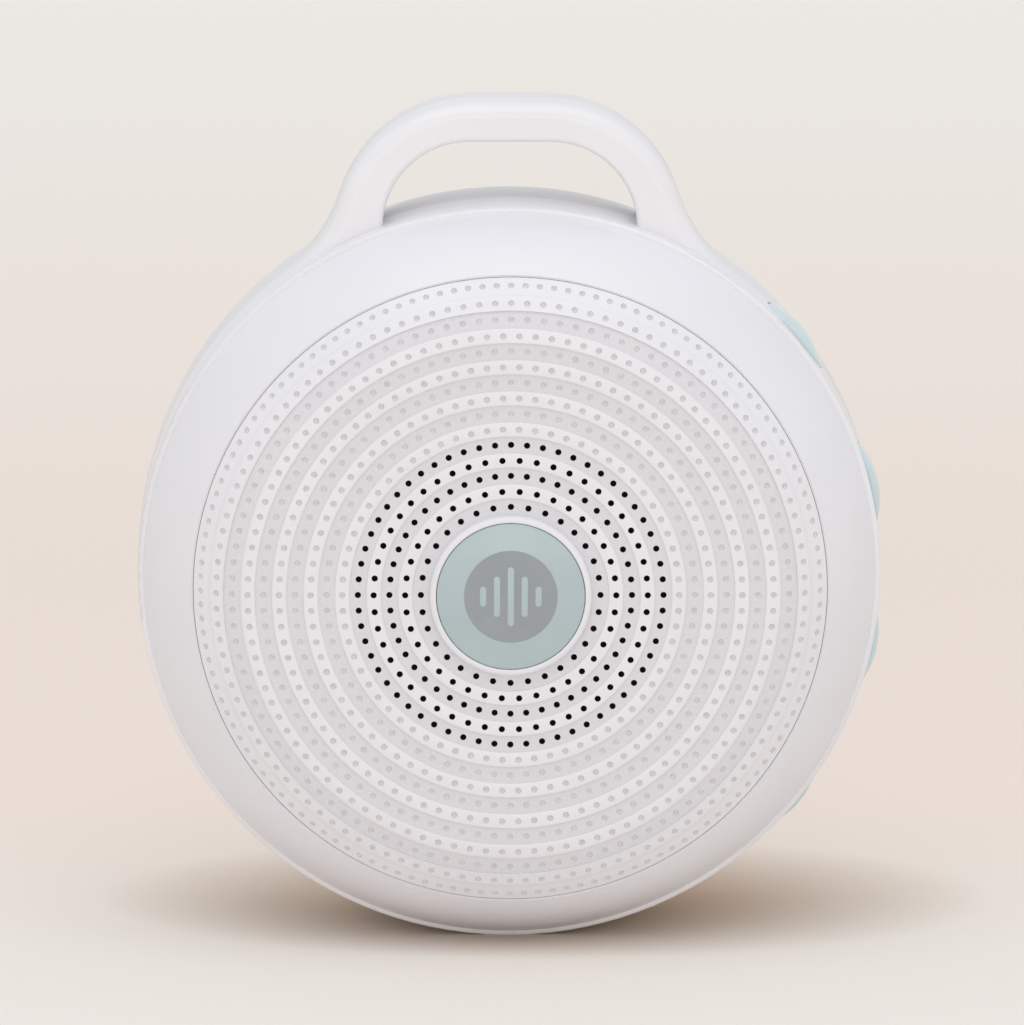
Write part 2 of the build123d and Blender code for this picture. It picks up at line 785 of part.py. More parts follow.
def speaker_back_plate():
    plate = disc(top_plate_radius, speaker_back, magnet_low)
    return plate + disc(pole_radius, speaker_back, basket_floor)


# --- electronics ------------------------------------------------------------------------------
def main_board():
    shape = Circle(board_radius)
    edge = CenterArc((0, 0), board_reach, board_lobe_start, board_lobe_end - board_lobe_start)
    lobe = make_face(Line((0, 0), edge @ 0) + edge + Line(edge @ 1, (0, 0)))
    tab = Pos(-board_reach / 2, 0) * Rectangle(board_reach, 2 * port_lobe_half)
    body = Pos(0, 0, board_back) * extrude(shape + lobe + tab, board_thickness)
    post_way = disc(housing_post_radius + board_clearance, 0, body_depth)
    body -= at_spots(housing_screw_radius, housing_screw_angles, post_way)
    return body - at_board_posts(disc(board_screw[0] + screw_gap, 0, body_depth))


def charging_socket():
    """Round-ended metal shell with its contact tongue, under the board's left edge."""
    mouth = body_radius - port_setback
    back = mouth - port_length
    shell = port_prism(0, back, mouth) - port_prism(-port_shell, back + port_back_wall, mouth + cut_over)
    half = port_width / 2 - port_height / 2
    tongue = block(
        (-mouth + port_tongue, -half, port_middle - port_tongue / 2),
        (-back - port_back_wall / 2, half, port_middle + port_tongue / 2),
    )
    return shell + tongue


def battery_cell():
    body = Box(battery_width, battery_length, battery_thickness)
    body = fillet(body.edges().filter_by(Axis.Y), battery_round)
    return Pos(0, battery_centre_y, wall + foam_thickness + battery_thickness / 2) * body


def battery_foam():
    body = Box(battery_width - 2 * foam_margin, battery_length - 2 * foam_margin, foam_thickness)
    return Pos(0, battery_centre_y, wall + foam_thickness / 2) * body


def chip(spot, size):
    """Flat chip on the front of the board, with two rows of legs."""
    x, y = spot
    length, width, height = size
    body = Pos(x, y, board_front + (chip_lift + height) / 2) * Box(length, width, height - chip_lift)
    leg = Pos(0, 0, board_front + leg_thickness / 2) * Box(leg_width, width + 2 * leg_reach, leg_thickness)
    count = int(length / leg_pitch) - 1
    first = x - (count - 1) / 2 * leg_pitch
    return body + [Pos(first + i * leg_pitch, y, 0) * leg for i in range(count)]


def capacitors():
    can = disc(capacitor_radius, board_front, board_front + capacitor_height)
    can = fillet(can.edges().sort_by(Axis.Z)[-1], capacitor_round)
    return Part() + at_spots(board_radius - capacitor_inset, capacitor_angles, can)


def wire_socket(spot, low):
    """Open-mouthed wire socket on the board, with its mouth towards -Y."""
    length, depth, height = socket_size
    body = Box(length, depth, height)
    mouth = Box(length - 2 * socket_wall, plug_home, height - 2 * socket_wall)
    body -= Pos(0, (plug_home - depth) / 2, 0) * mouth
    return Pos(spot[0], spot[1] + depth / 2, low + height / 2) * body


def wire_plug(spot, low):
    """Plug of a lead, home in its socket."""
    length, _, height = socket_size
    slack = 2 * (socket_wall + plug_clearance)
    body = Box(length - slack, plug_home + plug_show - plug_clearance, height - slack)
    middle_y = spot[1] + (plug_home - plug_show - plug_clearance) / 2
    return Pos(spot[0], middle_y, low + height / 2) * body


def lead(*points):
    """Round lead along straight runs joined by tangent arcs."""
    path = FilletPolyline(*points, radius=lead_bend)
    start = Plane(path @ 0, z_dir=path % 0)
    return sweep(start * Circle(lead_radius), path=path)


def battery_lead():
    """From the end of the cell, over the tray's wall, up to the plug under the board."""
    x, y = battery_socket_spot
    start_x = x - battery_lead_side
    cell_end = battery_centre_y + battery_length / 2
    exit_height = wall + foam_thickness + battery_thickness - 1.5 * lead_radius
    plug_middle = board_back - socket_size[2] / 2
    plug_back = y - plug_show
    return lead(
        (start_x, cell_end, exit_height),
        (start_x, plug_back - lead_straight - lead_slant, exit_height),
        (x, plug_back - lead_straight, plug_middle),
        (x, plug_back, plug_middle),
    )


def terminal_strip():
    """Tag strip on the basket's side, where the speaker's lead is soldered."""
    reach, width, thickness = tag_strip_size
    body = Box(reach + basket_wall, width, thickness)
    middle = (basket_side + (reach - basket_wall) / 2, tag_strip_y, basket_floor + thickness / 2)
    return Pos(-middle[0], middle[1], middle[2]) * body - disc(basket_side, 0, body_depth)


def speaker_lead():
    """From the plug on the board up to the tag strip."""
    x, y = speaker_socket_spot
    plug_middle = board_front + socket_size[2] / 2
    plug_back = y - plug_show
    tag_x = -basket_side - tag_strip_size[0] / 2
    return lead(
        (x, plug_back, plug_middle),
        (x, plug_back - lead_straight, plug_middle),
        (tag_x, tag_y, plug_middle + lead_rise),
        (tag_x, tag_y, basket_floor),
    )


# --- assembly ---------------------------------------------------------------------------------
def screws():
    """Every group of fasteners, each group as separate solids."""
    housing = screw(housing_screw, housing_head_seat)
    bezel = screw(bezel_screw, flange_low)
    front = screw(disc_screw, ledge_low)
    speaker = screw(speaker_screw, speaker_front - basket_flange)
    board = screw(board_screw, board_front, turn=Rot(180, 0, 0))
    return {
        "housing_screws": at_spots(housing_screw_radius, housing_screw_angles, housing),
        "bezel_screws": at_spots(bezel_screw_radius, bezel_screw_angles, bezel),
        "grille_disc_screws": at_spots(disc_screw_radius, disc_screw_angles, front),
        "speaker_screws": at_spots(ear_radius, speaker_screw_angles, speaker),
        "board_screws": at_board_posts(board),
    }


def pieces():
    """Every node by name, with the drum lying on its back."""
    nodes = {
        "rear_housing": rear_housing(),
        "front_housing": front_housing(),
        "front_bezel": front_bezel(),
        "grille_disc": grille_disc(),
        "centre_badge": centre_badge(),
        "badge_adhesive_pad": badge_pad(),
        "grille_cloth": grille_cloth(),
        "speaker_gasket": speaker_gasket(),
        "speaker_basket": speaker_basket(),
        "speaker_surround": speaker_surround(),
        "speaker_cone": speaker_cone(),
        "speaker_dust_cap": dust_cap(),
        "speaker_voice_coil": voice_coil(),
        "speaker_spider": speaker_spider(),
        "speaker_top_plate": speaker_top_plate(),
        "speaker_magnet": speaker_magnet(),
        "speaker_back_plate": speaker_back_plate(),
        "speaker_terminal_strip": terminal_strip(),
        "speaker_lead": speaker_lead(),
        "speaker_lead_socket": wire_socket(speaker_socket_spot, board_front),
        "speaker_lead_plug": wire_plug(speaker_socket_spot, board_front),
        "main_board": main_board(),
        "sound_chip": chip(sound_chip_spot, sound_chip_size),
        "amplifier_chip": chip(amplifier_chip_spot, amplifier_chip_size),
        "board_capacitors": capacitors(),
        "charging_socket": charging_socket(),
        "battery_cell": battery_cell(),
        "battery_foam_pad": battery_foam(),
        "battery_lead": battery_lead(),
        "battery_lead_socket": wire_socket(battery_socket_spot, board_back - socket_size[2]),
        "battery_lead_plug": wire_plug(battery_socket_spot, board_back - socket_size[2]),
    }
    for name, angle in key_angles.items():
        turn = Rot(0, 0, angle)
        nodes[f"{name}_key"] = turn * key_cap()
        nodes[f"{name}_switch"] = turn * switch_body()
        nodes[f"{name}_switch_plunger"] = turn * switch_plunger()
    nodes.update(screws())
    return nodes


os.makedirs("parts", exist_ok=True)
for name, shape in pieces().items():
    solids = shape if isinstance(shape, list) else [shape]
    piece = Compound(children=[stand_up(s) for s in solids]) if len(solids) > 1 else stand_up(solids[0])
    export_step(piece, f"parts/{name}.step")
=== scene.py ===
import json
import math

import bpy
from mathutils import Matrix, Quaternion, Vector


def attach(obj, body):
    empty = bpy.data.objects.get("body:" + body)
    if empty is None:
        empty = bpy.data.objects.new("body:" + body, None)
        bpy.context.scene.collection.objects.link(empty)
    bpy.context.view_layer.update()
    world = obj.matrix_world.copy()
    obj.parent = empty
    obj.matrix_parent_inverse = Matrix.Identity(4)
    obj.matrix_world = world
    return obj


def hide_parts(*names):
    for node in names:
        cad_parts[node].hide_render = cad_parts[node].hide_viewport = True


# A portable white noise machine: a round drum on its edge, with a carrying handle on top, a disc
# of raised and sunk bands of dots in front, a round badge in its middle and four keys in the rim.
# Metres, in the frame of the solids: X right, Y to the back, Z up. The drum's axis lies along Y.
# Sizes below are in millimetres.
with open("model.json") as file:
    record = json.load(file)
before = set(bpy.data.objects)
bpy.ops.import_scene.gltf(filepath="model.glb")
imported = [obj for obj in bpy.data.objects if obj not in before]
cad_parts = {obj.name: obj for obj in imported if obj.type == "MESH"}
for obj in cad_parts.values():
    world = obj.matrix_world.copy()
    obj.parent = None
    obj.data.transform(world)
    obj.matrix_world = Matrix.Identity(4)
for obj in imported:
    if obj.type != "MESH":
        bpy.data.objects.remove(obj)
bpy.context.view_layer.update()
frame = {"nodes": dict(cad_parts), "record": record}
MM = 0.001
TINY = 0.001                # tells places apart
weld_distance = 0.002       # points closer than this are one
cut_over = 1.0              # how far a cutter runs past the faces that it opens

# --- drum -------------------------------------------------------------------------------------
axis_height = 47.05
front = -20.0               # flat front of the patterned disc, along Y
rim_front = -6.0            # where the rim ends and the domed front begins
body_radius = 47.15
bezel_radius = 46.45
flat_radius = 31.5
shoulder_radius = 12.0
shoulder_angle = 45.0
joint_radius = 40.1         # joint between the disc and the bezel
joint_gap = 0.03
joint_round = 0.22
joint_corner = (0.3, 0.35)  # point of the joint's edges: aside and down, as shares of their rounding
joint_groove = 0.06         # depth of the open groove between the two
groove_fall = 0.05          # slope of the groove's floor
skirt_gap = 0.01            # disc's skirt inside the joint
disc_wall = 1.6
bezel_wall = 2.0
skirt_end = -14.0
ledge_inner_radius = 34.9
ledge_thickness = 1.6
rim_round = 0.08            # bezel's outer edge
rim_step = 0.1
disc_inner_radii = (37.2, 36.0, 34.6, 33.2)             # points of the disc's curved inside
bezel_inner_depths = (-8.0, -10.0, -11.4)               # points of the bezel's curved inside
bezel_steps = 18            # points over the bezel's front
round_steps = 240           # facets round the drum
front_crease = 38.0         # edges sharper than this many degrees stay sharp

# --- bosses and screw holes inside the front --------------------------------------------------
spacer_radii = (22.0, 25.0)
spacer_height = 2.2
speaker_boss = (28.2, 2.2, 0.8, (45, 135, 225, 315))    # ring radius, boss, pilot, angles
edge_boss = (36.6, 2.0, 0.9, (20, 110, 200, 290))
bezel_boss = (41.15, 2.2, 1.0, (95, 180, 305))
boss_root = 0.4             # speaker boss inside the disc's wall
edge_boss_length = 3.0
edge_pilot_length = 2.8
bezel_boss_setback = 3.0    # behind the skirt's end
bezel_pilot_setback = 3.7
screw_gap = 0.2
boss_sides = 24
pilot_sides = 12
way_sides = 16
gasket_back = -15.4

# --- bands and dots ---------------------------------------------------------------------------
first_row_radius = 11.32
row_pitch = 1.98707
row_count = 15
band_width = 1.85
band_step = 0.22
band_round = 0.16
# points of a band's upper edge: along and down, as shares of its rounding
band_corner = ((0.02, 1.0), (0.1, 0.55), (0.3, 0.25), (0.6, 0.07))
dome_step = 0.5             # spacing of the profile's points over the shoulder
hole_counts = (32, 38, 48, 50, 60)
hole_diameter = 0.8
dimple_counts = (66, 72, 78, 84, 90, 96, 102, 108, 116, 136)
dimple_radius = 0.42
dimple_depth = 0.42
hole_cutter = 6.0           # length of a hole's cutter
hole_lead = 2.0             # the first row's cutter ahead of the flat front
hole_sides = 16
dimple_segments = 12
dimple_rings = 6

# --- badge and its collar ---------------------------------------------------------------------
badge_radius = 9.35
badge_front = -20.93
badge_back = -19.95
badge_round = 0.18
badge_corner = (0.13, 0.5)  # points of the badge's edge, as shares of its rounding
badge_steps = 144
badge_crease = 50.0
collar_inner = 9.41
collar_outer = 10.25
collar_front = -20.85
# points of the collar's edges: in from its side, and back from its front
collar_inner_edge = ((0.0, 0.12), (0.05, 0.03), (0.15, 0.0))
collar_outer_edge = ((0.42, 0.0), (0.2, 0.07), (0.06, 0.24), (0.0, 0.5))
pocket_floor = -19.75
print_radius = 5.9
print_thickness = 0.02
print_sink = 0.005          # print's back inside the badge
print_steps = 96
bar_sides = 26
bar_reach = 0.2             # a bar's cutter ahead of and behind the badge's front
bar_heights = (2.6, 5.2, 7.6, 5.2, 2.6)
bar_width = 0.8
bar_pitch = 1.75

# --- keys -------------------------------------------------------------------------------------
key_angles = {"top": 39.3, "upper": 13.1, "lower": -13.1, "bottom": -39.3}
key_length = 10.6
key_width = 6.6
key_rise = 1.1
key_crown_radius = 12.0
key_inner_radius = 43.35
key_lip = 0.7
key_lip_radius = 45.05
key_round = 0.45
key_rim = 0.65              # from the key's side in to the first ring of its face
key_face_rings = (2.0, 1.35, 0.7, 0.35)
key_sides = 64
key_side_cuts = 7
key_bevel_steps = 5
key_bevel_angle = 40.0
crown_steps = 16
crown_spare = 0.6           # barrel's length past the key at each end
lip_reach = 8.0             # half the length of the rod that trims the lip
facing_out = 0.5            # X of the normal of a key's outer faces, before it is turned into place

# --- which finish, or painted shade, a face of the disc gets ----------------------------------
sunk_index, hole_index, dimple_shade_index = 1, 2, 3
strip_margin = 0.01
band_margin = 0.05          # a sunk band's face lies no further back than this
facing_front = -0.5         # Y of the normal of a face that looks to the front
facing_aside = 0.2          # Y of the normal of a hole's wall
hole_wall_start = 0.6       # behind the flat front
dimple_margin = 0.03        # inside a dimple, behind the face round it

# --- camera, lamps and floor ------------------------------------------------------------------
view_elevation = 11.133     # degrees
view_azimuth = -0.759
view_roll = 0.139
view_distance = 1.8404      # metres from the middle of the flat front
view_up = 10.442            # how far the camera is moved along its own axes, in millimetres
view_right = 0.159
lens = 513.3                # focal length, with the sensor's width, in millimetres
sensor_width = 36.0
clip_range = (0.05, 20.0)   # nearest and farthest that the camera sees, in metres
floor_size = 8.0            # metres
# where the floor's tones change, from front to back, in metres
near_change = (-0.35, -0.02)
middle_change = (-0.01, 0.07)
far_change = (0.22, 0.75)
floor_roughness = 0.9
floor_gloss_drift = 0.02
floor_front = (0.94, 0.90, 0.85, 1.0)
floor_near = (0.865, 0.805, 0.745, 1.0)
floor_middle = (0.87, 0.755, 0.675, 1.0)
floor_far = (0.96, 0.925, 0.865, 1.0)
world_colour = (0.975, 0.985, 1.0, 1.0)
world_strength = 0.81
# The drum's contact shadow is painted into the floor's colour: a soft darkened oval under it, on top
# of the rendered shadow.
shadow_size = (58.0, 36.0)  # half width and half depth of the darkened floor under the drum
shadow_place = (5.0, 16.0)  # its middle, to the right of and behind the drum's
shadow_tone = (0.59, 0.475, 0.37, 1.0)
shadow_core = 0.3           # share of its size that is fully dark
# place and size in metres, power in watts and colour of each soft lamp
lamps = {
    "overhead_softbox": ((0.0, -0.35, 1.15), 1.2, 3.3, (0.9, 0.95, 1.0)),
    "low_fill": ((0.0, -1.2, 0.06), 0.9, 3.0, (1.0, 0.87, 0.80)),
}


# --- modelling helpers ------------------------------------------------------------------------
def select_only(obj):
    bpy.ops.object.select_all(action="DESELECT")
    obj.select_set(True)
    bpy.context.view_layer.objects.active = obj


def edit(obj, mode="VERT"):
    """Enter edit mode on one object, picking by points, edges or faces."""
    select_only(obj)
    bpy.ops.object.mode_set(mode="EDIT")
    bpy.ops.mesh.select_mode(type=mode)


def leave():
    bpy.ops.object.mode_set(mode="OBJECT")


def settle(obj):
    """Put the object at the origin, unturned and unscaled, with its place in its mesh."""
    select_only(obj)
    bpy.ops.object.transform_apply(location=True, rotation=True, scale=True)
    return obj


def smooth(obj, angle=35.0):
    select_only(obj)
    bpy.ops.object.shade_smooth_by_angle(angle=math.radians(angle))
    return obj


def apply_modifier(obj, kind, name, **settings):
    select_only(obj)
    modifier = obj.modifiers.new(name, kind)
    for setting, value in settings.items():
        setattr(modifier, setting, value)
    bpy.ops.object.modifier_apply(modifier=modifier.name)
    return obj


def turned(name, section, closed=True, steps=round_steps):
    """Spin a half section of (radius, depth) points round the drum's axis."""
    bpy.ops.object.select_all(action="DESELECT")
    radius, depth = section[0]
    place = (radius * MM, depth * MM, axis_height * MM)
    bpy.ops.mesh.primitive_plane_add(size=MM, location=place)
    obj = settle(bpy.context.object)
    obj.name = name
    edit(obj)
    bpy.ops.mesh.select_all(action="SELECT")
    bpy.ops.mesh.merge(type="CENTER")
    for (r0, d0), (r1, d1) in zip(section, section[1:]):
        step = ((r1 - r0) * MM, (d1 - d0) * MM, 0)
        bpy.ops.mesh.extrude_region_move(TRANSFORM_OT_translate={"value": step})
    if closed:
        leave()
        for vertex in obj.data.vertices:
            vertex.select = vertex.index in (0, len(obj.data.vertices) - 1)
        edit(obj)
        bpy.ops.mesh.edge_face_add()
    bpy.ops.mesh.select_all(action="SELECT")
    bpy.ops.mesh.spin(steps=steps, angle=math.tau, center=(0, 0, axis_height * MM), axis=(0, 1, 0))
    bpy.ops.mesh.select_all(action="SELECT")
    bpy.ops.mesh.remove_doubles(threshold=weld_distance * MM)
    bpy.ops.mesh.normals_make_consistent(inside=False)
    leave()
    return obj


def cut(obj, cutter, how="DIFFERENCE"):
    apply_modifier(obj, "BOOLEAN", "cut", operation=how, object=cutter, solver="MANIFOLD")
    bpy.data.objects.remove(cutter)
    return obj


def join(pieces):
    """Make one mesh of several pieces that don't touch."""
    bpy.ops.object.select_all(action="DESELECT")
    for piece in pieces:
        piece.select_set(True)
    bpy.context.view_layer.objects.active = pieces[0]
    if len(pieces) > 1:
        bpy.ops.object.join()
    return bpy.context.object


def rods(ring_radius, radius, low, high, angles, sides=boss_sides):
    """Round rods along Y, between two depths, at places on a circle round the drum's axis."""
    made = []
    for angle in angles:
        turn = math.radians(angle)
        x, z = ring_radius * math.cos(turn), axis_height + ring_radius * math.sin(turn)
        bpy.ops.object.select_all(action="DESELECT")
        bpy.ops.mesh.primitive_cylinder_add(
            vertices=sides,
            radius=radius * MM,
            depth=(high - low) * MM,
            location=(x * MM, (low + high) / 2 * MM, z * MM),
            rotation=(math.pi / 2, 0, 0),
        )
        made.append(settle(bpy.context.object))
    return join(made)


def copies_round(count):
    """Copy what is selected in edit mode to count places round the drum's axis."""
    bpy.ops.mesh.spin(
        steps=count - 1,
        dupli=True,
        angle=math.tau * (count - 1) / count,
        center=(0, 0, axis_height * MM),
        axis=(0, 1, 0),
    )


def clear_selection(obj):
    for element in (*obj.data.vertices, *obj.data.edges, *obj.data.polygons):
        element.select = False


def stretch_halves(obj, amount):
    """Move the upper and the lower half of a piece apart, about the height of the drum's axis."""
    for side in (1, -1):
        clear_selection(obj)
        for vertex in obj.data.vertices:
            vertex.select = (vertex.co.z / MM - axis_height) * side > TINY
        edit(obj)
        bpy.ops.transform.translate(value=(0, 0, side * amount * MM))
        leave()


# --- domed front ------------------------------------------------------------------------------
def brow_arc():
    """Centre radius, centre depth and radius of the arc from the shoulder's end to the rim."""
    turn = math.radians(shoulder_angle)
    start_r = flat_radius + shoulder_radius * math.sin(turn)
    start_d = front + shoulder_radius * (1 - math.cos(turn))
    run = bezel_radius - start_r
    drop = start_d - rim_front
    radius = -(run**2 + drop**2) / (2 * (run * math.sin(turn) + drop * math.cos(turn)))
    return start_r - radius * math.sin(turn), start_d + radius * math.cos(turn), radius


def dome_depth(radius, inset=0.0):
    """Depth of the domed front at a radius, set in by a wall."""
    turn = math.radians(shoulder_angle)
    shoulder = shoulder_radius - inset
    if radius <= flat_radius:
        return front + inset
    if radius <= flat_radius + shoulder * math.sin(turn):
        return front + shoulder_radius - math.sqrt(shoulder**2 - (radius - flat_radius) ** 2)
    brow_r, brow_d, brow_radius = brow_arc()
    return brow_d - math.sqrt((brow_radius - inset) ** 2 - (radius - brow_r) ** 2)


def inner_brow_radius(depth):
    """Radius of the bezel's inside at a depth."""
    brow_r, brow_d, brow_radius = brow_arc()
    return brow_r + math.sqrt((brow_radius - bezel_wall) ** 2 - (depth - brow_d) ** 2)


def row_radius(row):
    return first_row_radius + row * row_pitch


def run_over(start, end, inset):
    """Points over the dome between two radii, close together where it is curved."""
    count = max(1, math.ceil((end - start) / dome_step)) if end > flat_radius else 1
    radii = [start + (end - start) * i / count for i in range(count + 1)]
    return [(r, dome_depth(r, inset)) for r in radii]


def rounded_corner(radius, side):
    """Upper corner of a raised band: side is -1 at its inner edge and 1 at its outer edge."""
    points = [
        (radius - side * along * band_round, dome_depth(radius, down * band_round))
        for along, down in band_corner
    ]
    return points if side < 0 else points[::-1]


def band_profile():
    """Sunk and raised bands from the collar out to the joint, with rounded upper edges."""
    points, inner = [], collar_outer
    for row in range(1, row_count, 2):
        low, high = row_radius(row) - band_width / 2, row_radius(row) + band_width / 2
        points += run_over(inner, low, band_step)
        points += rounded_corner(low, -1)
        points += run_over(low + band_round, high - band_round, 0)
        points += rounded_corner(high, 1)
        inner = high
    return points + run_over(inner, joint_radius - joint_gap - joint_round, band_step)


def joint_edge(radius, side, inset):
    """Rounded edge beside the joint: side is -1 for the disc and 1 for the bezel."""
    lip = radius + side * joint_round
    aside, down = (joint_round * share for share in joint_corner)
    return [
        (lip, dome_depth(lip, inset)),
        (radius + side * aside, dome_depth(lip, inset + down)),
        (radius, dome_depth(radius, inset + joint_round)),
    ]


# --- dots -------------------------------------------------------------------------------------
def dot_cutters():
    """Through holes of the inner rows and shallow dimples of the outer rows, as one mesh."""
    start = front - hole_lead
    cutters = rods(first_row_radius, hole_diameter / 2, start, start + hole_cutter, (0,), hole_sides)
    cutters.name = "dot_cutters"
    edit(cutters)
    bpy.ops.mesh.select_all(action="SELECT")
    copies_round(hole_counts[0])
    for row, count in enumerate(hole_counts[1:] + dimple_counts, start=1):
        bpy.ops.mesh.select_all(action="DESELECT")
        depth = dome_depth(row_radius(row), 0 if row % 2 else band_step)
        place = (row_radius(row) * MM, depth * MM, axis_height * MM)
        if row < len(hole_counts):
            bpy.ops.mesh.primitive_cylinder_add(
                vertices=hole_sides,
                radius=hole_diameter / 2 * MM,
                depth=hole_cutter * MM,
                location=place,
                rotation=(math.pi / 2, 0, 0),
            )
        else:
            bpy.ops.mesh.primitive_uv_sphere_add(
                segments=dimple_segments,
                ring_count=dimple_rings,
                radius=dimple_radius * MM,
                location=place,
                rotation=(math.pi / 2, 0, 0),
                scale=(1, 1, dimple_depth / dimple_radius),
            )
        copies_round(count)
    leave()
    return cutters


# --- front pieces -----------------------------------------------------------------------------
def patterned_disc():
    """Front disc: its bands and dots, the badge's collar and pocket, skirt and bosses."""
    collar = [(0.0, pocket_floor), (collar_inner, pocket_floor)]
    collar += [(collar_inner + aside, collar_front + back) for aside, back in collar_inner_edge]
    collar += [(collar_outer - aside, collar_front + back) for aside, back in collar_outer_edge]
    edge = joint_radius - joint_gap
    skirt = edge - disc_wall
    behind = front + disc_wall
    spacer = behind + spacer_height
    section = collar + band_profile() + joint_edge(edge, -1, band_step)[1:]
    groove = dome_depth(edge, band_step + joint_groove)
    flank = joint_radius - skirt_gap
    section += [(edge, groove), (flank, groove + groove_fall), (flank, skirt_end), (skirt, skirt_end)]
    under = (skirt, *disc_inner_radii, flat_radius)
    section += [(r, dome_depth(r, disc_wall)) for r in under]
    section += [(spacer_radii[1], behind), (spacer_radii[1], spacer)]
    section += [(spacer_radii[0], spacer), (spacer_radii[0], behind), (0.0, behind)]
    disc = turned("patterned_disc", section, closed=False)
    ring, boss, pilot, angles = speaker_boss
    cut(disc, rods(ring, boss, behind - boss_root, gasket_back, angles), "UNION")
    cut(disc, rods(ring, pilot, behind, gasket_back + cut_over, angles, pilot_sides))
    ring, boss, pilot, angles = edge_boss
    cut(disc, rods(ring, boss, skirt_end - edge_boss_length, skirt_end, angles), "UNION")
    pilot_start = skirt_end - edge_pilot_length
    cut(disc, rods(ring, pilot, pilot_start, skirt_end + cut_over, angles, pilot_sides))
    cut(disc, dot_cutters())
    return smooth(disc, front_crease)


def sunk_strips():
    """Inner and outer radius of each sunk band."""
    strips, inner = [], collar_outer
    for row in range(1, row_count, 2):
        strips.append((inner, row_radius(row) - band_width / 2))
        inner = row_radius(row) + band_width / 2
    return strips + [(inner, joint_radius - joint_gap - joint_round)]


def in_dimple(radius, depth):
    """Whether a place lies inside one of the shallow dimples."""
    row = round((radius - first_row_radius) / row_pitch)
    if not len(hole_counts) <= row < row_count or abs(radius - row_radius(row)) > dimple_radius:
        return False
    return depth > dome_depth(radius, 0 if row % 2 else band_step) + dimple_margin


def mark_faces(disc):
    """Give the disc its other finishes and its painted shade: grain on the sunk bands, dark walls of
    the holes and darker dimples.
    """
    strips = sunk_strips()[:-1]
    for face in disc.data.polygons:
        spot = face.center / MM
        radius = math.hypot(spot.x, spot.z - axis_height)
        facing = face.normal.y
        in_strip = any(low - strip_margin < radius < high + strip_margin for low, high in strips)
        on_skin = facing < facing_front and spot.y < dome_depth(radius, band_step + band_margin)
        in_hole = collar_outer < radius < spacer_radii[0] and spot.y > front + hole_wall_start
        if in_strip and on_skin:
            face.material_index = sunk_index
        # painted shade on the holes' walls
        elif in_hole and abs(facing) < facing_aside:
            face.material_index = hole_index
        if in_dimple(radius, spot.y):
            # painted shade in the dimples
            face.material_index = dimple_shade_index


def domed_bezel():
    """Smooth ring round the disc, with its inner ledge and bosses."""
    section = joint_edge(joint_radius, 1, 0)[::-1]
    start = section[-1][0]
    run = bezel_radius - rim_round - start
    radii = [start + run * i / bezel_steps for i in range(1, bezel_steps + 1)]
    section += [(r, dome_depth(r)) for r in radii]
    section += [(bezel_radius, rim_front - rim_step), (bezel_radius, rim_front)]
    ledge_top = skirt_end + ledge_thickness
    section += [(inner_brow_radius(d), d) for d in (rim_front, *bezel_inner_depths, ledge_top)]
    section += [(ledge_inner_radius, ledge_top), (ledge_inner_radius, skirt_end)]
    section += [(joint_radius, skirt_end)]
    bezel = turned("domed_bezel", section)
    ring, boss, pilot, angles = bezel_boss
    cut(bezel, rods(ring, boss, skirt_end + bezel_boss_setback, rim_front, angles), "UNION")
    pilot_start = skirt_end + bezel_pilot_setback
    cut(bezel, rods(ring, pilot, pilot_start, rim_front + cut_over, angles, pilot_sides))
    ring, _, pilot, angles = edge_boss
    way = rods(ring, pilot + screw_gap, skirt_end - cut_over, ledge_top + cut_over, angles, way_sides)
    cut(bezel, way)
    return smooth(bezel, front_crease)


def round_badge():
    """Flat badge with a rounded edge."""
    short, far = (badge_round * share for share in badge_corner)
    section = [
        (0.0, badge_back),
        (badge_radius, badge_back),
        (badge_radius, badge_front + badge_round),
        (badge_radius - short, badge_front + far),
        (badge_radius - far, badge_front + short),
        (badge_radius - badge_round, badge_front),
        (0.0, badge_front),
    ]
    badge = turned("round_badge", section, closed=False, steps=badge_steps)
    return smooth(badge, badge_crease)


def printed_level_bars():
    """Grey printed disc with a row of sound-level bars left bare in it."""
    low, high = badge_front + print_sink, badge_front - print_thickness
    section = [(0.0, low), (print_radius, low), (print_radius, high), (0.0, high)]
    printed = turned("printed_level_bars", section, closed=False, steps=print_steps)
    bars = []
    for i, height in enumerate(bar_heights):
        start, end = badge_front - bar_reach, badge_front + bar_reach
        bar = rods(0, bar_width / 2, start, end, (0,), bar_sides)
        stretch_halves(bar, (height - bar_width) / 2)
        offset = (i - (len(bar_heights) - 1) / 2) * bar_pitch * MM
        select_only(bar)
        bpy.ops.transform.translate(value=(offset, 0, 0))
        bars.append(settle(bar))
    return cut(printed, join(bars))


# --- keys -------------------------------------------------------------------------------------
def crown_barrel():
    """Barrel whose side is the crowned outer face of a key, about an axis along Y."""
    top = body_radius + key_rise
    half = key_length / 2
    rise = top - math.sqrt(body_radius**2 - half**2)
    side_radius = (half**2 + rise**2) / (2 * rise)
    reach = key_width / 2 + crown_spare
    section = [(0.0, -reach)]
    for i in range(crown_steps + 1):
        depth = -reach + 2 * reach * i / crown_steps
        drop = key_crown_radius - math.sqrt(key_crown_radius**2 - depth**2)
        section.append((side_radius - drop, depth))
    section.append((0.0, reach))
    barrel = turned("crown_barrel", section, closed=False)
    bpy.ops.transform.translate(value=((top - side_radius) * MM, 0, 0))
    return settle(barrel)


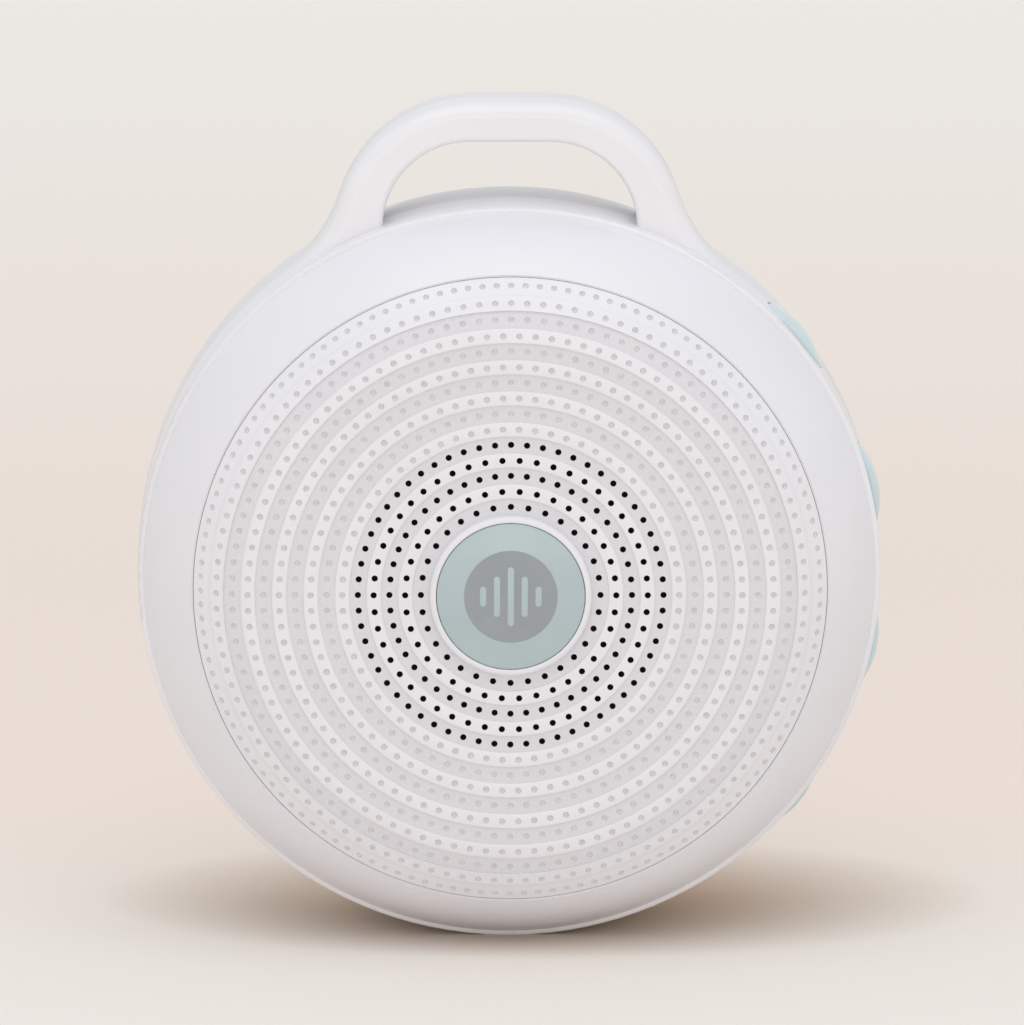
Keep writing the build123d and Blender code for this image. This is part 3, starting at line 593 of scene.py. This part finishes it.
def oval_rod(name, rings, low, high):
    """Round-ended rod along X, its length up and down: rings are the radii on its outer end."""
    bpy.ops.object.select_all(action="DESELECT")
    bpy.ops.mesh.primitive_cylinder_add(
        vertices=key_sides,
        radius=rings[0] * MM,
        depth=(high - low) * MM,
        location=((low + high) / 2 * MM, 0, axis_height * MM),
        rotation=(0, math.pi / 2, 0),
    )
    obj = settle(bpy.context.object)
    obj.name = name
    edit(obj, "FACE")
    bpy.ops.mesh.select_all(action="SELECT")
    middle = (low * MM, 0, axis_height * MM)
    half_step = math.pi / key_sides
    bpy.ops.transform.rotate(value=half_step, orient_axis="X", center_override=middle)
    leave()
    for face in obj.data.polygons:
        face.select = face.normal.x > facing_out
    edit(obj, "FACE")
    for outer, inner in zip(rings, rings[1:]):
        bpy.ops.mesh.inset(thickness=(outer - inner) * MM, depth=0)
    leave()
    stretch_halves(obj, (key_length - key_width) / 2)
    return obj


def key(name, angle):
    """A crowned oval key with a soft rim, and a lip that keeps it inside the wall."""
    half = key_width / 2
    top = body_radius + key_rise
    rings = (half, half - key_rim, *key_face_rings)
    obj = oval_rod(f"{name}_crowned_key", rings, key_inner_radius, top)
    edit(obj, "EDGE")
    bpy.ops.mesh.select_all(action="DESELECT")
    leave()
    for edge in obj.data.edges:
        ends = [obj.data.vertices[i].co.z / MM - axis_height for i in edge.vertices]
        edge.select = min(ends) < -TINY and max(ends) > TINY
    edit(obj, "EDGE")
    bpy.ops.mesh.subdivide(number_cuts=key_side_cuts)
    leave()
    outer_end = [v.index for v in obj.data.vertices if v.co.x / MM > top - TINY]
    obj.vertex_groups.new(name="crown").add(outer_end, 1.0, "REPLACE")
    barrel = crown_barrel()
    apply_modifier(
        obj,
        "SHRINKWRAP",
        "crown",
        target=barrel,
        wrap_method="PROJECT",
        use_project_x=True,
        use_negative_direction=True,
        use_positive_direction=True,
        vertex_group="crown",
    )
    bpy.data.objects.remove(barrel)
    obj.vertex_groups.clear()
    # The crown is curved, so its many-sided faces become triangles.
    clear_selection(obj)
    for face in obj.data.polygons:
        face.select = len(face.vertices) > 4 and face.normal.x > facing_out
    edit(obj, "FACE")
    bpy.ops.mesh.quads_convert_to_tris(quad_method="BEAUTY", ngon_method="BEAUTY")
    leave()
    apply_modifier(
        obj,
        "BEVEL",
        "soft_rim",
        width=key_round * MM,
        segments=key_bevel_steps,
        limit_method="ANGLE",
        angle_limit=math.radians(key_bevel_angle),
    )
    lip = oval_rod("lip", (half + key_lip,), key_inner_radius, key_lip_radius + cut_over)
    cut(lip, rods(0, key_lip_radius, -lip_reach, lip_reach, (0,), round_steps), "INTERSECT")
    cut(obj, lip, "UNION")
    smooth(obj)
    edit(obj)
    bpy.ops.mesh.select_all(action="SELECT")
    axis = (0, 0, axis_height * MM)
    bpy.ops.transform.rotate(value=math.radians(angle), orient_axis="Y", center_override=axis)
    leave()
    return obj


# --- node tools -------------------------------------------------------------------------------
def tint(red, green, blue):
    """Linear colour of an 8-bit screen colour."""
    return tuple(((c / 255 + 0.055) / 1.055) ** 2.4 for c in (red, green, blue)) + (1.0,)


def new_group(name, numbers, outputs):
    """Empty shader group with a Vector and some number inputs, and (name, kind) outputs."""
    group = bpy.data.node_groups.new(name, "ShaderNodeTree")
    group.interface.new_socket("Vector", in_out="INPUT", socket_type="NodeSocketVector")
    for label, value in numbers.items():
        socket = group.interface.new_socket(label, in_out="INPUT", socket_type="NodeSocketFloat")
        socket.default_value = value
    for label, kind in outputs.items():
        group.interface.new_socket(label, in_out="OUTPUT", socket_type=kind)
    start = group.nodes.new("NodeGroupInput")
    end = group.nodes.new("NodeGroupOutput")
    return group, start.outputs, end.inputs


def add(tree, kind, inputs=None, **settings):
    """Add a node, set it up, and fill or link its inputs by name or number."""
    node = tree.nodes.new(kind)
    for setting, value in settings.items():
        setattr(node, setting, value)
    for label, value in (inputs or {}).items():
        if isinstance(value, bpy.types.NodeSocket):
            tree.links.new(value, node.inputs[label])
        else:
            node.inputs[label].default_value = value
    return node


def maths(tree, operation, first, second=0.0):
    return add(tree, "ShaderNodeMath", {0: first, 1: second}, operation=operation).outputs[0]


def wave(tree, value, turn):
    """Row of round ridges: the value times the turn, as the size of its sine."""
    return maths(tree, "ABSOLUTE", maths(tree, "SINE", maths(tree, "MULTIPLY", value, turn)))


def remap(tree, value, low, high, to_low=0.0, to_high=1.0):
    """The value moved from one range to another and held at its ends."""
    inputs = {"Value": value, 1: low, 2: high, 3: to_low, 4: to_high}
    return add(tree, "ShaderNodeMapRange", inputs).outputs[0]


def in_steps_of(tree, vector, millimetres):
    """The vector counted in steps of a size in millimetres."""
    scale = maths(tree, "DIVIDE", 1 / MM, millimetres)
    return add(tree, "ShaderNodeVectorMath", {0: vector, "Scale": scale}, operation="SCALE").outputs[0]


def noise(tree, vector, detail=2.0, roughness=0.5):
    inputs = {"Vector": vector, "Scale": 1.0, "Detail": detail, "Roughness": roughness}
    return add(tree, "ShaderNodeTexNoise", inputs).outputs[0]


# --- effects ----------------------------------------------------------------------------------
def patches_effect():
    """Soft patches, for a colour and a gloss that drift a little over a surface."""
    group, start, end = new_group("patches", {"Size": 14.0}, {"Mask": "NodeSocketFloat"})
    spots = noise(group, in_steps_of(group, start["Vector"], start["Size"]), 3.0)
    group.links.new(remap(group, spots, 0.34, 0.66), end["Mask"])
    return group


def grain_effect():
    """Height of a fine moulded or cast grain."""
    group, start, end = new_group("grain", {"Size": 0.25}, {"Height": "NodeSocketFloat"})
    fine = noise(group, in_steps_of(group, start["Vector"], start["Size"]), 1.5)
    coarse_size = maths(group, "MULTIPLY", start["Size"], 4.0)
    coarse = noise(group, in_steps_of(group, start["Vector"], coarse_size), 2.0)
    fine_share = maths(group, "MULTIPLY", fine, 0.7)
    coarse_share = maths(group, "MULTIPLY", coarse, 0.3)
    group.links.new(maths(group, "ADD", fine_share, coarse_share), end["Height"])
    return group


def weave_effect():
    """Plain weave in the XZ plane: a height, and a mask of the threads that lie on top."""
    outputs = {"Height": "NodeSocketFloat", "Upper": "NodeSocketFloat"}
    group, start, end = new_group("weave", {"Thread": 0.3}, outputs)
    steps = in_steps_of(group, start["Vector"], start["Thread"])
    split = add(group, "ShaderNodeSeparateXYZ", {0: steps}).outputs
    across = wave(group, split["X"], math.pi)
    along = wave(group, split["Z"], math.pi)
    columns = maths(group, "FLOOR", split["X"])
    rows = maths(group, "FLOOR", split["Z"])
    upper = maths(group, "FLOORED_MODULO", maths(group, "ADD", columns, rows), 2.0)
    lower = maths(group, "SUBTRACT", 1.0, upper)
    over = maths(group, "MULTIPLY", across, upper)
    below = maths(group, "MULTIPLY", along, lower)
    group.links.new(maths(group, "ADD", over, below), end["Height"])
    group.links.new(upper, end["Upper"])
    return group


def brushing_effect():
    """Fine lines along X, as a drawn or brushed metal has."""
    group, start, end = new_group("brushing", {"Spacing": 0.12}, {"Lines": "NodeSocketFloat"})
    steps = in_steps_of(group, start["Vector"], start["Spacing"])
    drawn = add(group, "ShaderNodeVectorMath", {0: steps, 1: (0.03, 1.0, 1.0)}, operation="MULTIPLY")
    group.links.new(noise(group, drawn.outputs[0], 3.0), end["Lines"])
    return group


effects = {
    "patches": patches_effect(),
    "grain": grain_effect(),
    "weave": weave_effect(),
    "brushing": brushing_effect(),
}


# --- finishes ---------------------------------------------------------------------------------
def effect(tree, name, **values):
    """Place one of the effects in a material, on the object's own coordinates."""
    place = add(tree, "ShaderNodeTexCoord").outputs["Object"]
    node = add(tree, "ShaderNodeGroup", node_tree=effects[name])
    tree.links.new(place, node.inputs["Vector"])
    for label, value in values.items():
        node.inputs[label].default_value = value
    return node.outputs


def blend_colours(tree, mask, first, second):
    """The first colour where the mask is 0, and the second where it is 1."""
    inputs = {0: mask, 6: first, 7: second}
    return add(tree, "ShaderNodeMix", inputs, data_type="RGBA").outputs[2]


def new_finish(name, shader_values):
    """An empty material, with the values that are the same all over it."""
    material = bpy.data.materials.new(name)
    material.use_nodes = True
    shader = material.node_tree.nodes["Principled BSDF"]
    for label, value in shader_values.items():
        shader.inputs[label].default_value = value
    return material, material.node_tree, shader.inputs


def raise_surface(tree, height, millimetres, normal):
    """Raise a surface by a height of 0 to 1, which stands for this many millimetres."""
    bump = add(tree, "ShaderNodeBump", {"Height": height, "Distance": millimetres * MM})
    tree.links.new(bump.outputs[0], normal)


def toned(name, light, dark, patch, gloss, grain, **shader_values):
    """A finish that drifts between two tones in patches and has a fine grain.

    gloss holds the roughness of the light and of the dark tone, and grain its size and height.
    """
    values = {label.replace("_", " "): value for label, value in shader_values.items()}
    material, tree, shader = new_finish(name, values)
    mask = effect(tree, "patches", Size=patch)["Mask"]
    tree.links.new(blend_colours(tree, mask, tint(*dark), tint(*light)), shader["Base Color"])
    tree.links.new(remap(tree, mask, 0.0, 1.0, gloss[1], gloss[0]), shader["Roughness"])
    height = effect(tree, "grain", Size=grain[0])["Height"]
    raise_surface(tree, height, grain[1], shader["Normal"])
    return material


def woven(name, upper, lower, thread, roughness, **shader_values):
    """Plain-woven cloth, with its thread's width in millimetres."""
    values = {label.replace("_", " "): value for label, value in shader_values.items()}
    material, tree, shader = new_finish(name, values)
    weave = effect(tree, "weave", Thread=thread)
    fuzz = effect(tree, "grain", Size=thread / 4)["Height"]
    mask = maths(tree, "MULTIPLY", weave["Height"], remap(tree, fuzz, 0.3, 0.7, 0.6, 1.0))
    tree.links.new(blend_colours(tree, mask, tint(*lower), tint(*upper)), shader["Base Color"])
    tree.links.new(remap(tree, weave["Upper"], 0, 1, roughness, roughness + 0.08), shader["Roughness"])
    raise_surface(tree, weave["Height"], thread / 3, shader["Normal"])
    return material


def drawn_metal(name, light, dark, spacing, gloss):
    """Metal with fine drawn lines and dull patches."""
    material, tree, shader = new_finish(name, {"Metallic": 1.0})
    lines = effect(tree, "brushing", Spacing=spacing)["Lines"]
    mask = effect(tree, "patches", Size=4.0)["Mask"]
    tree.links.new(blend_colours(tree, mask, tint(*dark), tint(*light)), shader["Base Color"])
    along_lines = remap(tree, lines, 0.3, 0.7, gloss[0], gloss[1])
    dull = maths(tree, "MULTIPLY", mask, 0.05)
    tree.links.new(maths(tree, "ADD", along_lines, dull), shader["Roughness"])
    raise_surface(tree, lines, 0.004, shader["Normal"])
    return material


def solder_mask():
    """Green board lacquer with the raised lines of the copper under it."""
    material, tree, shader = new_finish("solder_mask", {"Coat Weight": 0.4, "Coat Roughness": 0.2})
    place = add(tree, "ShaderNodeTexCoord").outputs["Object"]
    turned_up = add(tree, "ShaderNodeMapping", {"Vector": place, "Rotation": (math.pi / 2, 0, 0.785)})
    tracks = add(
        tree,
        "ShaderNodeTexBrick",
        {
            "Vector": turned_up.outputs[0],
            "Color1": tint(18, 86, 52),
            "Color2": tint(20, 94, 56),
            "Mortar": tint(44, 128, 78),
            "Scale": 1.0,
            "Mortar Size": 0.35 * MM,
            "Brick Width": 5.2 * MM,
            "Row Height": 1.3 * MM,
        },
        offset_frequency=3,
    ).outputs
    tree.links.new(tracks["Color"], shader["Base Color"])
    mask = effect(tree, "patches", Size=6.0)["Mask"]
    tree.links.new(remap(tree, mask, 0, 1, 0.3, 0.4), shader["Roughness"])
    raise_surface(tree, tracks["Fac"], 0.04, shader["Normal"])
    return material


def wound_wire(wire_pitch=0.2):
    """Enamelled copper wire, wound turn by turn along Y, with its pitch in millimetres."""
    material, tree, shader = new_finish("wound_wire", {"Metallic": 1.0})
    place = add(tree, "ShaderNodeTexCoord").outputs["Object"]
    along = add(tree, "ShaderNodeSeparateXYZ", {0: place}).outputs["Y"]
    turns = wave(tree, along, math.pi / (wire_pitch * MM))
    copper = blend_colours(tree, turns, tint(120, 62, 36), tint(214, 138, 92))
    tree.links.new(copper, shader["Base Color"])
    tree.links.new(remap(tree, turns, 0, 1, 0.45, 0.28), shader["Roughness"])
    raise_surface(tree, turns, 0.06, shader["Normal"])
    return material


def foil_pouch():
    """Aluminium foil pouch with soft creases."""
    material, tree, shader = new_finish("foil_pouch", {"Metallic": 0.85})
    creases = effect(tree, "grain", Size=3.5)["Height"]
    mask = effect(tree, "patches", Size=7.0)["Mask"]
    foil = blend_colours(tree, mask, tint(168, 172, 178), tint(196, 199, 204))
    tree.links.new(foil, shader["Base Color"])
    tree.links.new(remap(tree, mask, 0, 1, 0.3, 0.42), shader["Roughness"])
    raise_surface(tree, creases, 0.25, shader["Normal"])
    return material


def open_foam(cell=0.45):
    """Foam whose cut cells show as small pits, with a cell's width in millimetres."""
    material, tree, shader = new_finish("open_foam", {"Roughness": 0.95})
    place = add(tree, "ShaderNodeTexCoord").outputs["Object"]
    pattern = {"Vector": place, "Scale": 1 / (cell * MM)}
    cells = add(tree, "ShaderNodeTexVoronoi", pattern).outputs["Distance"]
    dark_cells = blend_colours(tree, cells, tint(34, 34, 36), tint(74, 74, 76))
    tree.links.new(dark_cells, shader["Base Color"])
    raise_surface(tree, cells, 0.15, shader["Normal"])
    return material


finishes = {
    "white_shell": toned(
        "satin_white_shell", (234, 233, 236), (231, 230, 233), 16.0, (0.28, 0.34), (0.35, 0.004)
    ),
    "white_front": toned(
        "satin_white_front", (231, 231, 235), (229, 228, 232), 16.0, (0.34, 0.40), (0.4, 0.003)
    ),
    "mint_key": toned(
        "glossy_mint", (203, 221, 226), (197, 216, 221), 5.0, (0.16, 0.22), (0.5, 0.002),
        Coat_Weight=0.5, Coat_Roughness=0.05,
    ),
    "badge": toned(
        "lacquered_pale_blue", (175, 191, 194), (171, 187, 190), 6.0, (0.38, 0.44), (0.2, 0.003),
        Coat_Weight=0.6, Coat_Roughness=0.12,
    ),
    "adhesive": toned("adhesive_foam", (240, 238, 230), (228, 226, 216), 2.0, (0.8, 0.9), (0.3, 0.05)),
    "black_cloth": woven("black_cloth", (36, 36, 38), (8, 8, 9), 0.28, 0.85, Sheen_Weight=0.2),
    "black_rubber": toned("black_rubber", (44, 44, 45), (34, 34, 35), 4.0, (0.6, 0.7), (0.3, 0.02)),
    "cone_paper": toned("cone_pulp", (66, 66, 68), (50, 50, 52), 0.8, (0.85, 0.95), (0.25, 0.06)),
    "spider_cloth": woven("dipped_cloth", (214, 172, 98), (150, 106, 44), 0.4, 0.7),
    "plated_steel": drawn_metal(
        "zinc_plated_steel", (204, 204, 206), (184, 184, 188), 0.12, (0.24, 0.38)
    ),
    "ferrite": toned("ground_ferrite", (72, 72, 74), (58, 58, 60), 2.0, (0.5, 0.62), (0.2, 0.02)),
    "copper": wound_wire(),
    "circuit_board": solder_mask(),
    "chip_black": toned("chip_epoxy", (52, 52, 54), (42, 42, 44), 3.0, (0.5, 0.6), (0.15, 0.01)),
    "capacitor_can": drawn_metal("drawn_can", (206, 207, 210), (190, 191, 195), 0.1, (0.22, 0.34)),
    "connector_ivory": toned(
        "ivory_nylon", (238, 233, 217), (229, 223, 205), 3.0, (0.4, 0.5), (0.3, 0.008)
    ),
    "battery_wrap": foil_pouch(),
    "foam": open_foam(),
    "lead_red": toned("red_sleeve", (200, 40, 34), (182, 32, 28), 5.0, (0.4, 0.5), (0.4, 0.01)),
    "lead_black": toned("black_sleeve", (48, 48, 49), (38, 38, 39), 5.0, (0.4, 0.5), (0.4, 0.01)),
}
sunk_band = toned(
    "grained_white_band", (221, 220, 224), (217, 216, 220), 0.45, (0.7, 0.8), (0.2, 0.008)
)
# Painted shade: the dimples' faces are a little darker than the front round them.
painted_dimple_shade = toned(
    "painted_dimple_shade", (228, 225, 226), (223, 220, 221), 2.0, (0.6, 0.7), (0.3, 0.002)
)
# The rear housing's white is a little greyer: partly a second moulding's own tone, partly painted
# shade for the strip behind the rim under the handle.
rear_shell_partly_shaded = toned(
    "satin_white_rear_shell_painted_shade", (229, 227, 229), (226, 224, 226), 16.0, (0.4, 0.46), (0.35, 0.004)
)
# Painted shade: the holes' white walls are coloured dark, so that the holes look dark all through.
shaded_hole = toned("shaded_hole", (70, 66, 66), (58, 55, 55), 4.0, (0.8, 0.9), (0.3, 0.002))
printed_grey = toned(
    "printed_grey", (148, 155, 157), (143, 150, 152), 5.0, (0.45, 0.5), (0.2, 0.002),
    Coat_Weight=0.6, Coat_Roughness=0.12,
)


# --- stage ------------------------------------------------------------------------------------
def floor_finish():
    """Pale floor, warmest behind the machine, with a painted shadow darkening it under the machine."""
    material, tree, shader = new_finish("pale_floor", {"Roughness": floor_roughness})
    place = add(tree, "ShaderNodeTexCoord").outputs["Object"]
    split = add(tree, "ShaderNodeSeparateXYZ", {0: place}).outputs
    near = blend_colours(tree, remap(tree, split["Y"], *near_change), floor_front, floor_near)
    near = blend_colours(tree, remap(tree, split["Y"], *middle_change), near, floor_middle)
    depth = remap(tree, split["Y"], *far_change)
    pale = blend_colours(tree, depth, near, floor_far)
    # Painted shadow: the floor's colour is darkened towards the middle of an oval under the drum.
    scale = (1 / shadow_size[0] / MM, 1 / shadow_size[1] / MM, 1.0)
    shift = (-shadow_place[0] / shadow_size[0], -shadow_place[1] / shadow_size[1], 0.0)
    moved = {0: place, 1: scale, 2: shift}
    spread = add(tree, "ShaderNodeVectorMath", moved, operation="MULTIPLY_ADD").outputs[0]
    reach = add(tree, "ShaderNodeVectorMath", {0: spread}, operation="LENGTH").outputs["Value"]
    under = remap(tree, reach, shadow_core, 1.0, 1.0, 0.0)
    mixed = {0: 1.0, 6: pale, 7: shadow_tone}
    dark = add(tree, "ShaderNodeMix", mixed, data_type="RGBA", blend_type="MULTIPLY").outputs[2]
    tree.links.new(blend_colours(tree, under, pale, dark), shader["Base Color"])
    glossy, dull = floor_roughness - floor_gloss_drift, floor_roughness + floor_gloss_drift
    tree.links.new(remap(tree, depth, 0.0, 1.0, glossy, dull), shader["Roughness"])
    return material


def stage():
    """Floor, even light from all round, and the soft lamps."""
    bpy.ops.object.select_all(action="DESELECT")
    bpy.ops.mesh.primitive_plane_add(size=floor_size)
    floor = bpy.context.object
    floor.name = "floor"
    floor.data.materials.append(floor_finish())
    world = bpy.data.worlds.new("even_light")
    bpy.context.scene.world = world
    world.use_nodes = True
    background = world.node_tree.nodes["Background"].inputs
    background["Color"].default_value = world_colour
    background["Strength"].default_value = world_strength
    for name, (place, size, power, colour) in lamps.items():
        bpy.ops.object.light_add(type="AREA", location=place)
        lamp = bpy.context.object
        lamp.name = name
        lamp.data.shape = "DISK"
        lamp.data.size = size
        lamp.data.energy = power
        lamp.data.color = colour
        aim = Vector((0, 0, axis_height * MM)) - lamp.location
        lamp.rotation_euler = aim.to_track_quat("-Z", "Y").to_euler()


def camera():
    """Camera in front of the machine, a little above it."""
    data = bpy.data.cameras.new("camera")
    data.lens = lens
    data.sensor_fit = "HORIZONTAL"
    data.sensor_width = sensor_width
    data.clip_start, data.clip_end = clip_range
    obj = bpy.data.objects.new("camera", data)
    bpy.context.collection.objects.link(obj)
    turn, rise = math.radians(view_azimuth), math.radians(view_elevation)
    back = Vector((math.sin(turn) * math.cos(rise), -math.cos(turn) * math.cos(rise), math.sin(rise)))
    facing = (-back).to_track_quat("-Z", "Y") @ Quaternion((0, 0, 1), math.radians(view_roll))
    middle = Vector((0, front * MM, axis_height * MM))
    aside = facing @ Vector((view_right * MM, view_up * MM, 0))
    obj.matrix_world = Matrix.LocRotScale(middle + back * view_distance + aside, facing, None)
    bpy.context.scene.camera = obj


# --- making -----------------------------------------------------------------------------------
def fit_piece(piece, body, slot, *nodes, finish=None):
    """Give a piece its body and the finish of its slot, and hide the CAD nodes that it stands for."""
    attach(piece, body)
    if nodes:
        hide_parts(*nodes)
    piece.data.materials.clear()
    piece.data.materials.append(finish or finishes[slot])
    return piece


def main():
    camera()
    stage()
    for part in frame["record"]["subparts"]:
        # the rear housing gets the greyer white, which is partly painted shade
        finish = rear_shell_partly_shaded if part["node"] == "rear_housing" else finishes[part["material_slot"]]
        for holder in frame["nodes"][part["node"]].material_slots:
            holder.material = finish
    disc = fit_piece(patterned_disc(), "housing", "white_front", "grille_disc")
    for finish in (sunk_band, shaded_hole, painted_dimple_shade):
        disc.data.materials.append(finish)
    mark_faces(disc)
    fit_piece(domed_bezel(), "housing", "white_front", "front_bezel")
    fit_piece(round_badge(), "housing", "badge", "centre_badge")
    fit_piece(printed_level_bars(), "housing", "badge", finish=printed_grey)
    for name, angle in key_angles.items():
        fit_piece(key(name, angle), f"{name}_key_press", "mint_key", f"{name}_key")
    bpy.context.scene.view_settings.view_transform = "Standard"


main()
